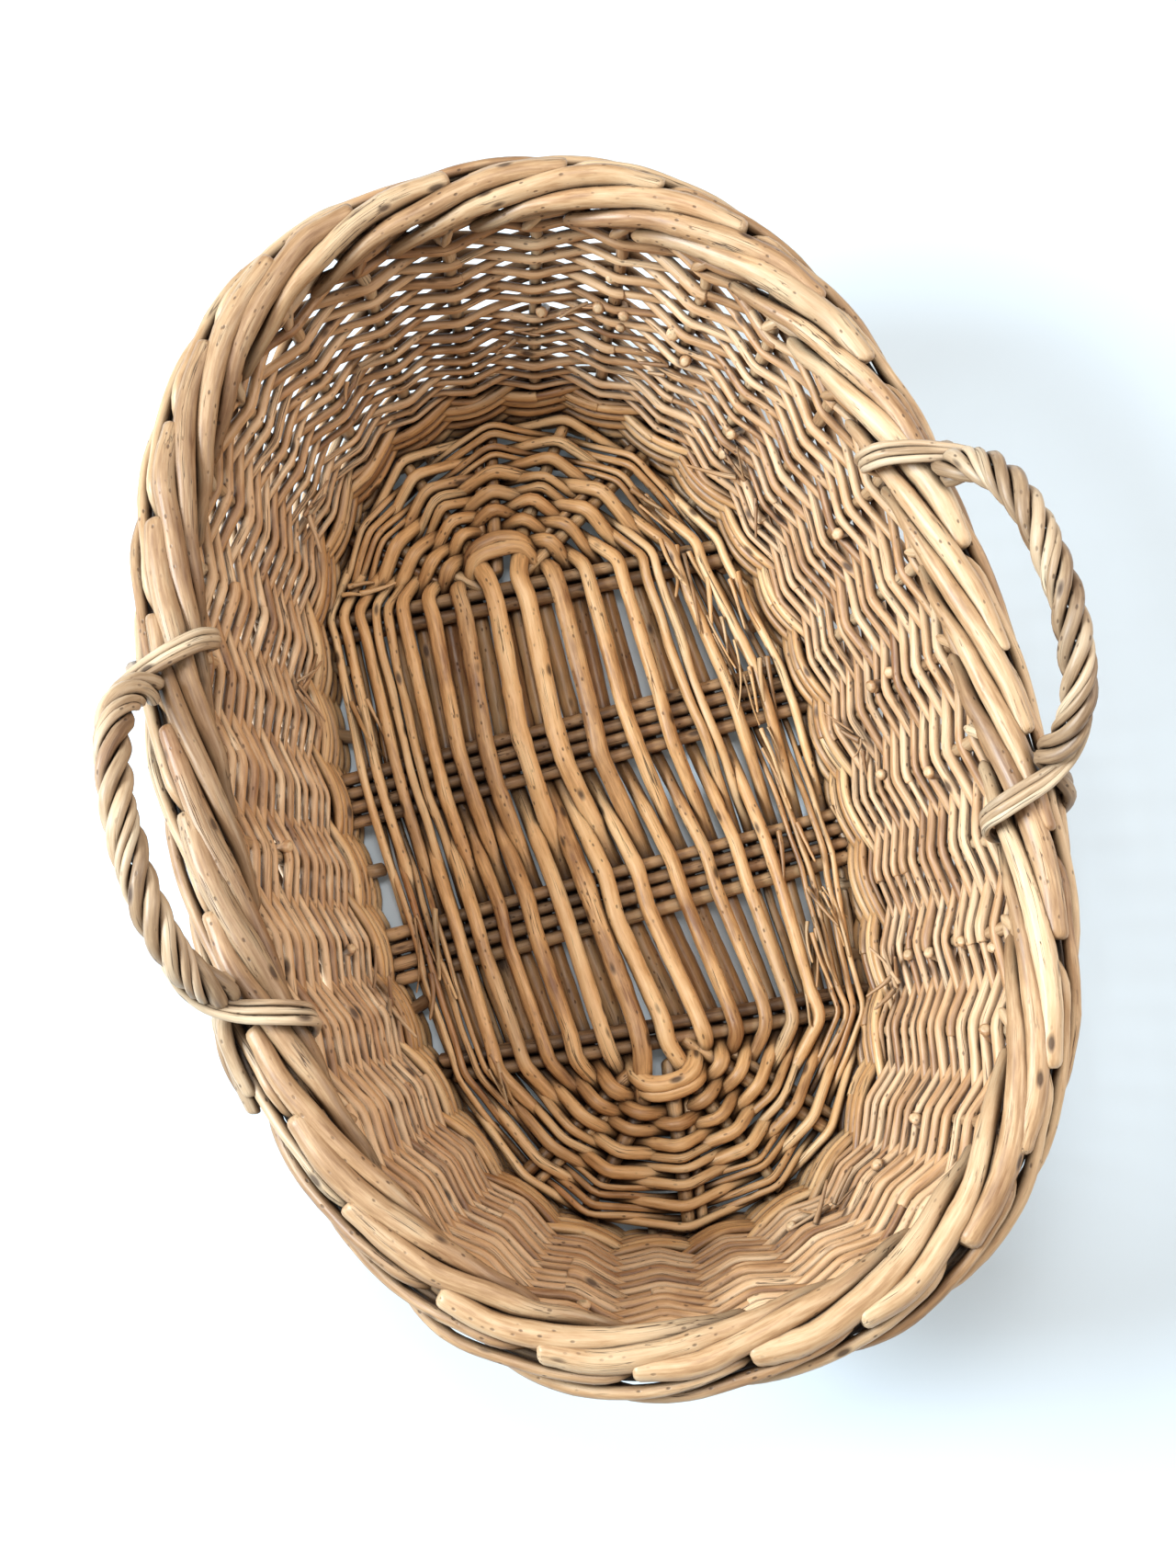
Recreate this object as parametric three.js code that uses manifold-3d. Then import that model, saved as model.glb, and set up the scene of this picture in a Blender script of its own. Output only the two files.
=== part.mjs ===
// Oval willow basket with a slatted base, a flared woven wall, a rod border and two rope handles.
// Millimetres, +Z up, +X along the basket. The origin is under the middle of the base.

import * as THREE from 'three';
import { mergeVertices } from 'three/addons/utils/BufferGeometryUtils.js';
import Module from 'manifold-3d';

const wasm = await Module();
wasm.setup();

// Driving dimensions ---------------------------------------------------------------------------

// The plan is one oval. Its half sizes follow the middle of the wall, and the wall leans outward.
const OVAL_EXPONENT = 2.4;
const BASE_HALF_LENGTH = 244.5;
const BASE_HALF_WIDTH = 138.5;
const RIM_HALF_LENGTH = 282;
const RIM_HALF_WIDTH = 186;
const FLARE_START = 22;
const FLARE_END = 180;

const MAT_THICKNESS = 33;
const WALE_TOP = 34;
const WALE_INNER = -9;
const WALE_OUTER = 11;
const WALL_TOP = 172;
const WALL_HALF_THICKNESS = 8;
const BORDER_TOP = 205;
const BORDER_HALF_WIDTH = 18;
const BORDER_CHAMFER = 7;

const STICK_HEIGHT = 15;
const END_STICK_DIAMETER = 10;
const STICK_END_MARGIN = 3;

const STAKE_COUNT = 32;
const STAKE_DIAMETER = 8;
const STAKE_INSERT_HEIGHT = 24.5;
const STAKE_INSERT_LENGTH = 50;
const STAKE_BEND = 9;
const STAKE_BEND_STEPS = 2;
const STAKE_TOP = 196;

const ROPE_DIAMETER = 18;
const HANDLE_HALF_SPAN = 72;
const HANDLE_FOOT_Y = 190;
const HANDLE_FOOT_HEIGHT = 209;
const HANDLE_APEX_Y = 213;
const HANDLE_APEX_HEIGHT = 250;
const HANDLE_ROUNDNESS = 0.9;
const LEG_DIAMETER = 8;
const LEG_END_HEIGHT = 112;

const LASHING_DIAMETER = 6;
const LASHING_X = 86;
const LASHING_GAP = 0.8;

const GAP = 0.3;
const RING_SEGMENTS = 68;
const ROD_SIDES = 6;
const ROPE_SIDES = 10;
const ROPE_STEPS = 20;

// Each group of cross sticks: its middle, how far its +Y end leads its -Y end, and its sticks.
const STICK_GROUPS = [
  { name: 'a', x: 131, skew: 16, count: 2, diameter: 9 },
  { name: 'b', x: 38, skew: 6, count: 4, diameter: 8 },
  { name: 'c', x: -52, skew: 4, count: 4, diameter: 8 },
  { name: 'd', x: -130, skew: 26, count: 2, diameter: 9 },
];

// The short sticks that fan out at the two round ends, from the inner tip to the outer tip.
const END_STICKS = [
  { name: 'end_stick_front_centre', from: [151, 17], to: [225, 12] },
  { name: 'end_stick_front_right', from: [149, -33], to: [176, -86] },
  { name: 'end_stick_front_left', from: [156, 54], to: [188, 80] },
  { name: 'end_stick_back_centre', from: [-147, 3], to: [-226, 18] },
  { name: 'end_stick_back_right', from: [-157, -36], to: [-195, -72] },
  { name: 'end_stick_back_left', from: [-143, 37], to: [-164, 92] },
];

const WILLOW = {
  base: { color: 0xc99c62, roughness: 0.6 },
  stick: { color: 0x9c7a50, roughness: 0.7 },
  wall: { color: 0xb48a58, roughness: 0.65 },
  border: { color: 0xc8a476, roughness: 0.6 },
  handle: { color: 0xb08c62, roughness: 0.65 },
};

// The oval ---------------------------------------------------------------------------------------

function flare(low, high, z) {
  const share = (Math.min(z, FLARE_END) - FLARE_START) / (FLARE_END - FLARE_START);
  return low + (high - low) * share;
}

function ovalPower(value) {
  return Math.sign(value) * Math.abs(value) ** (2 / OVAL_EXPONENT);
}

// A point at height z and oval angle, offset outward from the middle of the wall.
function place(offset, z, angle) {
  const halfLength = flare(BASE_HALF_LENGTH, RIM_HALF_LENGTH, z) + offset;
  const halfWidth = flare(BASE_HALF_WIDTH, RIM_HALF_WIDTH, z) + offset;
  return new THREE.Vector3(
    ovalPower(Math.cos(angle)) * halfLength,
    ovalPower(Math.sin(angle)) * halfWidth,
    z,
  );
}

// The oval angle that lies a given share of the way round the rim, measured along the rim.
function angleAtShare(share) {
  const samples = 2880;
  const lengths = [0];
  for (let i = 1; i <= samples; i += 1) {
    const here = place(0, FLARE_END, (i / samples) * 2 * Math.PI);
    const before = place(0, FLARE_END, ((i - 1) / samples) * 2 * Math.PI);
    lengths.push(lengths[i - 1] + here.distanceTo(before));
  }
  const wanted = share * lengths[samples];
  const index = lengths.findIndex((length) => length >= wanted);
  return (index / samples) * 2 * Math.PI;
}

// How far the oval reaches sideways at a given x.
function reachAtX(x, offset, z) {
  const halfLength = flare(BASE_HALF_LENGTH, RIM_HALF_LENGTH, z) + offset;
  const halfWidth = flare(BASE_HALF_WIDTH, RIM_HALF_WIDTH, z) + offset;
  const share = 1 - Math.abs(x / halfLength) ** OVAL_EXPONENT;
  return halfWidth * share ** (1 / OVAL_EXPONENT);
}

// The oval angle at which the rim has a given x on the side with the given sign of y.
function angleAtX(x, side) {
  const cosine = Math.sign(x) * Math.abs(x / RIM_HALF_LENGTH) ** (OVAL_EXPONENT / 2);
  return side * Math.acos(cosine);
}

// Solids -----------------------------------------------------------------------------------------

function toManifold(geometry) {
  const bare = geometry.clone();
  bare.deleteAttribute('normal');
  bare.deleteAttribute('uv');
  const merged = mergeVertices(bare, 1e-3);
  const mesh = new wasm.Mesh({
    numProp: 3,
    vertProperties: merged.getAttribute('position').array,
    triVerts: new Uint32Array(merged.getIndex().array),
  });
  return new wasm.Manifold(mesh);
}

function toGeometry(manifold) {
  const mesh = manifold.getMesh();
  const geometry = new THREE.BufferGeometry();
  geometry.setAttribute('position', new THREE.BufferAttribute(mesh.vertProperties, 3));
  geometry.setIndex(new THREE.BufferAttribute(mesh.triVerts, 1));
  geometry.computeVertexNormals();
  return geometry;
}

// A curve that visits its points one after another, so a rod gets one section at each point.
class RodPath extends THREE.Curve {
  constructor(points) {
    super();
    this.points = points;
  }

  getPoint(share, target = new THREE.Vector3()) {
    const place = share * (this.points.length - 1);
    const index = Math.min(Math.floor(place), this.points.length - 2);
    return target.lerpVectors(this.points[index], this.points[index + 1], place - index);
  }

  getPointAt(share, target) {
    return this.getPoint(share, target);
  }

  getTangentAt(share, target) {
    return this.getTangent(share, target);
  }
}

function roundSection(radius, sides) {
  const section = new THREE.Shape();
  for (let i = 0; i < sides; i += 1) {
    const angle = (i / sides) * 2 * Math.PI;
    const x = radius * Math.cos(angle);
    const y = radius * Math.sin(angle);
    if (i === 0) section.moveTo(x, y);
    else section.lineTo(x, y);
  }
  section.closePath();
  return section;
}

function rod(points, diameter, sides = ROD_SIDES) {
  const section = roundSection(diameter / 2, sides);
  const path = new RodPath(points);
  const steps = points.length - 1;
  return toManifold(new THREE.ExtrudeGeometry(section, { steps, extrudePath: path, bevelEnabled: false }));
}

// A turned shape whose points [radius, height] are then laid somewhere else by the function lay.
function turnAndLay(profile, segments, lay) {
  const points = profile.map(([radius, height]) => new THREE.Vector2(radius, height));
  const geometry = new THREE.LatheGeometry(points, segments);
  const position = geometry.getAttribute('position');
  for (let i = 0; i < position.count; i += 1) {
    const radius = Math.hypot(position.getX(i), position.getZ(i));
    const angle = Math.atan2(position.getX(i), position.getZ(i));
    const laid = lay(radius, position.getY(i), angle);
    position.setXYZ(i, laid.x, laid.y, laid.z);
  }
  return toManifold(geometry);
}

// A ring round the basket, whose section is a list of [offset, height] corners.
function ovalRing(section) {
  const turned = 1000;
  const profile = [...section, section[0]].map(([offset, z]) => [turned + offset, z]);
  return turnAndLay(profile, RING_SEGMENTS, (radius, z, angle) => place(radius - turned, z, angle));
}

// A plate that fills the oval up to an offset.
function ovalPlate(offset, thickness) {
  const profile = [[0, 0], [1, 0], [1, thickness], [0, thickness]];
  return turnAndLay(profile, RING_SEGMENTS, (radius, z, angle) => {
    const edge = place(offset, z, angle);
    return new THREE.Vector3(edge.x * radius, edge.y * radius, z);
  });
}

function cutAll(body, cutters) {
  return cutters.reduce((rest, cutter) => rest.subtract(cutter), body);
}

// Pieces of the base -----------------------------------------------------------------------------

function stickPoints(x, slope, reach) {
  return [-1, 1].map((end) => new THREE.Vector3(x + slope * end * reach, end * reach, STICK_HEIGHT));
}

function groupSticks({ name, x, skew, count, diameter }) {
  const sticks = [];
  for (let i = 0; i < count; i += 1) {
    const stickX = x + (i - (count - 1) / 2) * (diameter + GAP);
    const endX = Math.abs(stickX) + (skew + diameter) / 2;
    const edge = reachAtX(endX, WALE_INNER - GAP, STICK_HEIGHT);
    const slope = skew / (2 * edge);
    sticks.push({
      name: `cross_stick_${name}${i + 1}`,
      solid: rod(stickPoints(stickX, slope, edge - STICK_END_MARGIN), diameter),
      cutter: rod(stickPoints(stickX, slope, edge + WALE_OUTER), diameter + 2 * GAP),
    });
  }
  return sticks;
}

function endStick({ name, from, to }) {
  const inner = new THREE.Vector3(from[0], from[1], STICK_HEIGHT);
  const outer = new THREE.Vector3(to[0], to[1], STICK_HEIGHT);
  const along = outer.clone().sub(inner).normalize();
  const innerRoom = inner.clone().addScaledVector(along, -GAP);
  const outerRoom = outer.clone().addScaledVector(along, 3 * WALE_OUTER);
  return {
    name,
    solid: rod([inner, outer], END_STICK_DIAMETER),
    cutter: rod([innerRoom, outerRoom], END_STICK_DIAMETER + 2 * GAP),
  };
}

// Stakes -----------------------------------------------------------------------------------------

// In through the edge of the base, round a bend, and up the middle of the wall.
function stakePoints(angle, extra) {
  const inner = WALE_INNER - STAKE_INSERT_LENGTH - extra;
  const bend = [];
  for (let step = 0; step <= STAKE_BEND_STEPS; step += 1) {
    const turn = (step / STAKE_BEND_STEPS) * (Math.PI / 2);
    const offset = STAKE_BEND * (Math.sin(turn) - 1);
    const height = STAKE_INSERT_HEIGHT + STAKE_BEND * (1 - Math.cos(turn));
    bend.push(place(offset, height, angle));
  }
  return [
    place(inner, STAKE_INSERT_HEIGHT, angle),
    ...bend,
    place(0, FLARE_END, angle),
    place(0, STAKE_TOP + extra, angle),
  ];
}

function stake(number) {
  const angle = angleAtShare(number / STAKE_COUNT);
  return {
    name: `side_stake_${String(number + 1).padStart(2, '0')}`,
    solid: rod(stakePoints(angle, 0), STAKE_DIAMETER),
    cutter: rod(stakePoints(angle, GAP), STAKE_DIAMETER + 2 * GAP),
  };
}

// Handles ----------------------------------------------------------------------------------------

function handlePower(value) {
  return Math.sign(value) * Math.abs(value) ** HANDLE_ROUNDNESS;
}

function bowPoints(side) {
  const points = [];
  for (let i = 0; i <= ROPE_STEPS; i += 1) {
    const turn = (i / ROPE_STEPS) * Math.PI;
    const rise = handlePower(Math.sin(turn));
    points.push(new THREE.Vector3(
      HANDLE_HALF_SPAN * handlePower(Math.cos(turn)),
      side * (HANDLE_FOOT_Y + (HANDLE_APEX_Y - HANDLE_FOOT_Y) * rise),
      HANDLE_FOOT_HEIGHT + (HANDLE_APEX_HEIGHT - HANDLE_FOOT_HEIGHT) * rise,
    ));
  }
  return points;
}

// From inside the foot of the rope, through the border and down into the wall.
function legPoints(side, end, extra) {
  const angle = angleAtX(end * HANDLE_HALF_SPAN, side);
  const foot = new THREE.Vector3(
    end * HANDLE_HALF_SPAN,
    side * (HANDLE_FOOT_Y + LEG_DIAMETER / 4),
    HANDLE_FOOT_HEIGHT + LEG_DIAMETER / 2,
  );
  return [foot, place(0, FLARE_END, angle), place(0, LEG_END_HEIGHT - extra, angle)];
}

function handle(name, side) {
  const bow = rod(bowPoints(side), ROPE_DIAMETER, ROPE_SIDES);
  const legs = [-1, 1].map((end) => rod(legPoints(side, end, 0), LEG_DIAMETER));
  const cutters = [-1, 1].map((end) => rod(legPoints(side, end, GAP), LEG_DIAMETER + 2 * GAP));
  return { name, solid: legs.reduce((joined, leg) => joined.add(leg), bow), cutters };
}

// A loop over the border and back through the wall under it.
function lashingLoop(side, end, diameter) {
  const middle = angleAtX(end * LASHING_X, side);
  const sideways = place(0, FLARE_END, middle + 1e-3).distanceTo(place(0, FLARE_END, middle)) / 1e-3;
  const room = LASHING_GAP + LASHING_DIAMETER / 2;
  const halfWidth = BORDER_HALF_WIDTH + room;
  const halfHeight = (BORDER_TOP - WALL_TOP - GAP) / 2 + room;
  const centreHeight = (BORDER_TOP + WALL_TOP + GAP) / 2;
  const turned = 100;
  const squareness = 0.5;
  const profile = [];
  for (let i = 0; i < ROD_SIDES; i += 1) {
    const turn = (-i / ROD_SIDES) * 2 * Math.PI;
    profile.push([turned + (diameter / 2) * Math.cos(turn), (diameter / 2) * Math.sin(turn)]);
  }
  profile.push(profile[0]);
  const square = (value) => Math.sign(value) * Math.abs(value) ** squareness;
  return turnAndLay(profile, 24, (radius, along, angle) => place(
    square(Math.cos(angle)) * (halfWidth + radius - turned),
    centreHeight + square(Math.sin(angle)) * (halfHeight + radius - turned),
    middle + along / sideways,
  ));
}

function lashing(name, side, end) {
  return {
    name,
    solid: lashingLoop(side, end, LASHING_DIAMETER),
    cutter: lashingLoop(side, end, LASHING_DIAMETER + 2 * (LASHING_GAP - GAP / 3)),
  };
}

// Assembly ---------------------------------------------------------------------------------------

const crossSticks = STICK_GROUPS.flatMap(groupSticks);
const endSticks = END_STICKS.map(endStick);
const stakes = Array.from({ length: STAKE_COUNT }, (unused, number) => stake(number));
const handles = [handle('rope_handle_left', 1), handle('rope_handle_right', -1)];
const lashings = [
  lashing('lashing_left_front', 1, 1),
  lashing('lashing_left_back', 1, -1),
  lashing('lashing_right_front', -1, 1),
  lashing('lashing_right_back', -1, -1),
];

const stakeCutters = stakes.map((piece) => piece.cutter);
const stickCutters = [...crossSticks, ...endSticks].map((piece) => piece.cutter);
const legCutters = handles.flatMap((piece) => piece.cutters);
const lashingCutters = lashings.map((piece) => piece.cutter);

const baseWeave = cutAll(ovalPlate(WALE_INNER - GAP, MAT_THICKNESS), [...stickCutters, ...stakeCutters]);

const baseWale = cutAll(
  ovalRing([[WALE_INNER, 0], [WALE_OUTER, 0], [WALE_OUTER, WALE_TOP], [WALE_INNER, WALE_TOP]]),
  stakeCutters,
);

const wallWeave = cutAll(
  ovalRing([
    [-WALL_HALF_THICKNESS, WALE_TOP + GAP],
    [WALL_HALF_THICKNESS, WALE_TOP + GAP],
    [WALL_HALF_THICKNESS, WALL_TOP],
    [-WALL_HALF_THICKNESS, WALL_TOP],
  ]),
  [...stakeCutters, ...legCutters, ...lashingCutters],
);

const borderLow = WALL_TOP + GAP;
const borderFlat = BORDER_HALF_WIDTH - BORDER_CHAMFER;
const rodBorder = cutAll(
  ovalRing([
    [-borderFlat, borderLow],
    [borderFlat, borderLow],
    [BORDER_HALF_WIDTH, borderLow + BORDER_CHAMFER],
    [BORDER_HALF_WIDTH, BORDER_TOP - BORDER_CHAMFER],
    [borderFlat, BORDER_TOP],
    [-borderFlat, BORDER_TOP],
    [-BORDER_HALF_WIDTH, BORDER_TOP - BORDER_CHAMFER],
    [-BORDER_HALF_WIDTH, borderLow + BORDER_CHAMFER],
  ]),
  [...stakeCutters, ...legCutters],
);

function addPiece(group, name, solid, { color, roughness }) {
  const material = new THREE.MeshStandardMaterial({ color, roughness, metalness: 0 });
  const mesh = new THREE.Mesh(toGeometry(solid), material);
  mesh.name = name;
  group.add(mesh);
}

const basket = new THREE.Group();
addPiece(basket, 'base_weave', baseWeave, WILLOW.base);
addPiece(basket, 'base_wale', baseWale, WILLOW.base);
addPiece(basket, 'wall_weave', wallWeave, WILLOW.wall);
addPiece(basket, 'rod_border', rodBorder, WILLOW.border);
for (const { name, solid } of [...crossSticks, ...endSticks, ...stakes]) {
  addPiece(basket, name, solid, WILLOW.stick);
}
for (const { name, solid } of [...handles, ...lashings]) {
  addPiece(basket, name, solid, WILLOW.handle);
}

export default basket;
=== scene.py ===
# An oval willow basket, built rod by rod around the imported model: a slatted base, a flared woven wall,
# a border of thick rods and two rope handles. Metres, +Z up, +X along the basket.
import math

import bpy
import numpy as np
from mathutils import Matrix, Vector


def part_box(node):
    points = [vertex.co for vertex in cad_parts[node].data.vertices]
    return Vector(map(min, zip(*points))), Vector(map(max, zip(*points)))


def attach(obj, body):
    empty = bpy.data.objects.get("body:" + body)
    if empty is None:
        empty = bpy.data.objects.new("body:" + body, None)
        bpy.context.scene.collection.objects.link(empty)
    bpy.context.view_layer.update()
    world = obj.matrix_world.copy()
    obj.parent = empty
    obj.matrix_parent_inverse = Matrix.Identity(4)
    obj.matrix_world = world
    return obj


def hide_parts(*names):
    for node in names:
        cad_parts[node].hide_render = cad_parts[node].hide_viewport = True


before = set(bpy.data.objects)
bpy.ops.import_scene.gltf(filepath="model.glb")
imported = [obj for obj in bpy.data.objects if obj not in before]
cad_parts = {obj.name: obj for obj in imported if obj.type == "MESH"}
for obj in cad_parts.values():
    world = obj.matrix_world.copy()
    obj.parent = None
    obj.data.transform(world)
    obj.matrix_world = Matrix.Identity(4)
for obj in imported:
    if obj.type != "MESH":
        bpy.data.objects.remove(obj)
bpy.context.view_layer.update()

MM = 0.001
TAU = 2 * math.pi

# The camera and the stage ----------

CAMERA_PLACE = Vector((-0.2007, 0.0724, 1.0574))
CAMERA_TARGET = Vector((0.0168, -0.0026, 0.0))
CAMERA_ROLL = math.radians(-16.2)
CAMERA_LENS = 43.78
LONG_SENSOR_SIDE = 36.0

AIR_COLOUR = (1.0, 0.96, 0.9, 1)
AIR_STRENGTH = 0.36
BACKDROP_COLOUR = (0.66, 0.71, 0.75, 1)
# Each light's place, size, power and colour.
LIGHTS = {
    "key": ((0.4, 1.6, 1.5), 0.8, 84, (0.81, 0.92, 1.0)),
    "top": ((0.45, 0.0, 2.0), 0.6, 14, (1.0, 0.97, 0.94)),
    "fill": ((-0.2, -1.7, 1.5), 1.4, 24, (1.0, 0.96, 0.92)),
}
LIGHT_TARGET = Vector((0, 0, 0.1))
FLOOR_RADIUS = 2.3
FLOOR_SIDES = 96
FLOOR_LOOK = {
    "Base Color": (0.66, 0.75, 0.82, 1),
    "Roughness": 0.8,
    "Emission Color": (0.8, 0.93, 1.0, 1),
    "Emission Strength": 0.05,
}


def add_object(name, data):
    obj = bpy.data.objects.new(name, data)
    bpy.context.scene.collection.objects.link(obj)
    return obj


def new_material(name):
    """A material, and its shader."""
    material = bpy.data.materials.new(name)
    material.use_nodes = True
    return material, material.node_tree.nodes["Principled BSDF"]


def make_camera():
    data = bpy.data.cameras.new("camera")
    data.lens = CAMERA_LENS
    data.sensor_width = LONG_SENSOR_SIDE
    data.clip_start = 0.05
    data.clip_end = 30
    back = (CAMERA_PLACE - CAMERA_TARGET).normalized()
    hint = Vector((math.cos(CAMERA_ROLL), math.sin(CAMERA_ROLL), 0))
    up = (hint - back * hint.dot(back)).normalized()
    right = up.cross(back)
    camera = add_object("camera", data)
    camera.matrix_world = Matrix.Translation(CAMERA_PLACE) @ Matrix((right, up, back)).transposed().to_4x4()
    bpy.context.scene.camera = camera


def area_light(name, place, size, power, colour):
    data = bpy.data.lights.new(name, "AREA")
    data.size = size
    data.energy = power
    data.color = colour
    light = add_object(name, data)
    light.location = place
    light.rotation_euler = (LIGHT_TARGET - Vector(place)).to_track_quat("-Z", "Y").to_euler()


def make_world():
    """Soft light from all round, and a plain pale backdrop behind the floor."""
    world = bpy.data.worlds.new("studio")
    world.use_nodes = True
    nodes = world.node_tree.nodes
    light = nodes["Background"]
    light.inputs["Color"].default_value = AIR_COLOUR
    light.inputs["Strength"].default_value = AIR_STRENGTH
    backdrop = nodes.new("ShaderNodeBackground")
    backdrop.inputs["Color"].default_value = BACKDROP_COLOUR
    seen = nodes.new("ShaderNodeLightPath").outputs["Is Camera Ray"]
    either = nodes.new("ShaderNodeMixShader")
    links = world.node_tree.links
    for socket, value in zip(either.inputs, (seen, light.outputs[0], backdrop.outputs[0])):
        links.new(value, socket)
    links.new(either.outputs[0], nodes["World Output"].inputs["Surface"])
    bpy.context.scene.world = world


def make_floor():
    turns = np.linspace(0, TAU, FLOOR_SIDES, endpoint=False)
    corners = [(FLOOR_RADIUS * math.cos(turn), FLOOR_RADIUS * math.sin(turn), 0) for turn in turns]
    mesh = bpy.data.meshes.new("floor")
    mesh.from_pydata(corners, [], [range(FLOOR_SIDES)])
    material, shader = new_material("floor")
    for name, value in FLOOR_LOOK.items():
        shader.inputs[name].default_value = value
    mesh.materials.append(material)
    add_object("floor", mesh)


def make_stage():
    make_world()
    for name, light in LIGHTS.items():
        area_light(name, *light)
    make_floor()
    bpy.context.scene.view_settings.view_transform = "Standard"


# The oval ----------

OVAL_EXPONENT = 2.4
WALE_PROUD = 11 * MM
WALL_PROUD = 8 * MM
BORDER_PROUD = 18 * MM
STAKES = 32


def middle_of(node, proud):
    """Half the length and width of the wall's middle at the top of a CAD ring, and the height there."""
    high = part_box(node)[1]
    return np.array([high.x, high.y]) - proud, high.z


FOOT_SIZES, FOOT_TOP = middle_of("base_wale", WALE_PROUD)
WALL_SIZES, WALL_TOP = middle_of("wall_weave", WALL_PROUD)
RIM_SIZES, RIM_TOP = middle_of("rod_border", BORDER_PROUD)


def oval_power(value):
    return np.sign(value) * np.abs(value) ** (2 / OVAL_EXPONENT)


def sizes_at(height):
    share = (np.asarray(height, float) - FOOT_TOP) / (WALL_TOP - FOOT_TOP)
    leaning = FOOT_SIZES + (WALL_SIZES - FOOT_SIZES) * share[..., None]
    return np.minimum(leaning, RIM_SIZES)


def on_oval(angle, out, height):
    """Points at an oval angle, a distance outward from the wall's middle, and a height."""
    angle, out, height = np.broadcast_arrays(*(np.asarray(v, float) for v in (angle, out, height)))
    round_oval = np.stack([oval_power(np.cos(angle)), oval_power(np.sin(angle))], axis=-1)
    flat = round_oval * (sizes_at(height) + out[..., None])
    return np.concatenate([flat, height[..., None]], axis=-1)


def length_along(path):
    return np.concatenate([[0], np.cumsum(np.linalg.norm(np.diff(path, axis=0), axis=1))])


TABLE_ANGLES = np.linspace(0, TAU, 2881)
TABLE_LENGTHS = length_along(on_oval(TABLE_ANGLES, 0, RIM_TOP))
SPACING = TABLE_LENGTHS[-1] / STAKES


def angle_at(stakes):
    """The oval angle at a number of stake spacings round the rim, from the +X end."""
    turns = np.asarray(stakes, float) / STAKES
    whole = np.floor(turns)
    return TAU * whole + np.interp(turns - whole, TABLE_LENGTHS / TABLE_LENGTHS[-1], TABLE_ANGLES)


def on_wall(stakes, out, height):
    return on_oval(angle_at(stakes), out, height)


def angle_at_x(x, side):
    cosine = np.sign(x) * np.abs(x / RIM_SIZES[0]) ** (OVAL_EXPONENT / 2)
    return side * np.arccos(cosine)


# Paths ----------


def even_steps(length, step):
    return np.linspace(0, length, max(int(round(length / step)), 3) + 1)


def smooth_path(points, step):
    """Evenly spaced samples of a smooth curve through the points."""
    points = np.asarray(points, float)
    gaps = np.linalg.norm(np.diff(points, axis=0), axis=1)
    knots = length_along(points)
    slopes = np.gradient(points, knots, axis=0)
    at = even_steps(knots[-1], step)
    index = np.clip(np.searchsorted(knots, at, side="right") - 1, 0, len(gaps) - 1)
    width = gaps[index][:, None]
    t = (at - knots[index])[:, None] / width
    rise = 3 * t**2 - 2 * t**3
    leave = (t**3 - 2 * t**2 + t) * width
    arrive = (t**3 - t**2) * width
    places = points[index] * (1 - rise) + points[index + 1] * rise
    return places + slopes[index] * leave + slopes[index + 1] * arrive


def kinked_path(points, step, rounding):
    """Evenly spaced samples of straight runs through the points, with each corner rounded off."""
    points = np.asarray(points, float)
    gaps = np.linalg.norm(np.diff(points, axis=0), axis=1)
    rough = [points[0]]
    for before, corner, after, gap_in, gap_out in zip(points, points[1:], points[2:], gaps, gaps[1:]):
        cut = min(rounding, 0.48 * gap_in, 0.48 * gap_out)
        arrive = corner + (before - corner) * cut / gap_in
        leave = corner + (after - corner) * cut / gap_out
        for t in np.linspace(0, 1, 5):
            rough.append((1 - t) ** 2 * arrive + 2 * t * (1 - t) * corner + t**2 * leave)
    rough.append(points[-1])
    rough = np.array(rough)
    along = length_along(rough)
    at = even_steps(along[-1], step)
    return np.stack([np.interp(at, along, rough[:, axis]) for axis in range(3)], axis=-1)


def unit(vectors):
    return vectors / np.maximum(np.linalg.norm(vectors, axis=-1, keepdims=True), 1e-12)


def frames_along(path):
    """Tangents, and two directions across the path that don't spin about it."""
    tangents = unit(np.gradient(path, axis=0))
    helper = np.array([0.0, 0.0, 1.0]) if abs(tangents[0][2]) < 0.9 else np.array([1.0, 0.0, 0.0])
    across = helper - tangents[0] * helper.dot(tangents[0])
    normals = np.empty_like(tangents)
    for i, tangent in enumerate(tangents):
        across = across - tangent * across.dot(tangent)
        across = across / np.linalg.norm(across)
        normals[i] = across
    return tangents, normals, np.cross(tangents, normals)


def wander(rng, along, size, wavelength):
    """A smooth random swing of about the given size."""
    phases = rng.uniform(0, TAU, 3)
    swing = np.sin(TAU * along / wavelength + phases[0])
    swing = swing + 0.6 * np.sin(TAU * along * 1.9 / wavelength + phases[1])
    swing = swing + 0.35 * np.sin(TAU * along * 3.7 / wavelength + phases[2])
    return size * swing / 1.3


# Rods ----------

# The extra rings of each kind of end: how wide, how far past the end, and how much is cut face.
ROD_ENDS = {
    "cut": ((0.97, 0.12, 0.0), (0.84, 0.26, 0.0), (0.6, 0.34, 1.0)),
    "tip": ((0.72, 0.7, 0.0), (0.3, 1.3, 0.0)),
    "peg": ((1.12, 0.3, 0.0), (1.0, 0.75, 0.0), (0.6, 1.0, 0.6)),
    "blunt": ((0.98, 0.3, 0.0), (0.86, 0.6, 0.0), (0.6, 0.78, 0.4)),
}
CUT_CENTRE = 2.0
OVALNESS = 0.05
UNEVENNESS = 0.035
BUD_SPACING = 0.055
BUD_LENGTH = 0.003
BUD_SWELLING = 0.05


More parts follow.
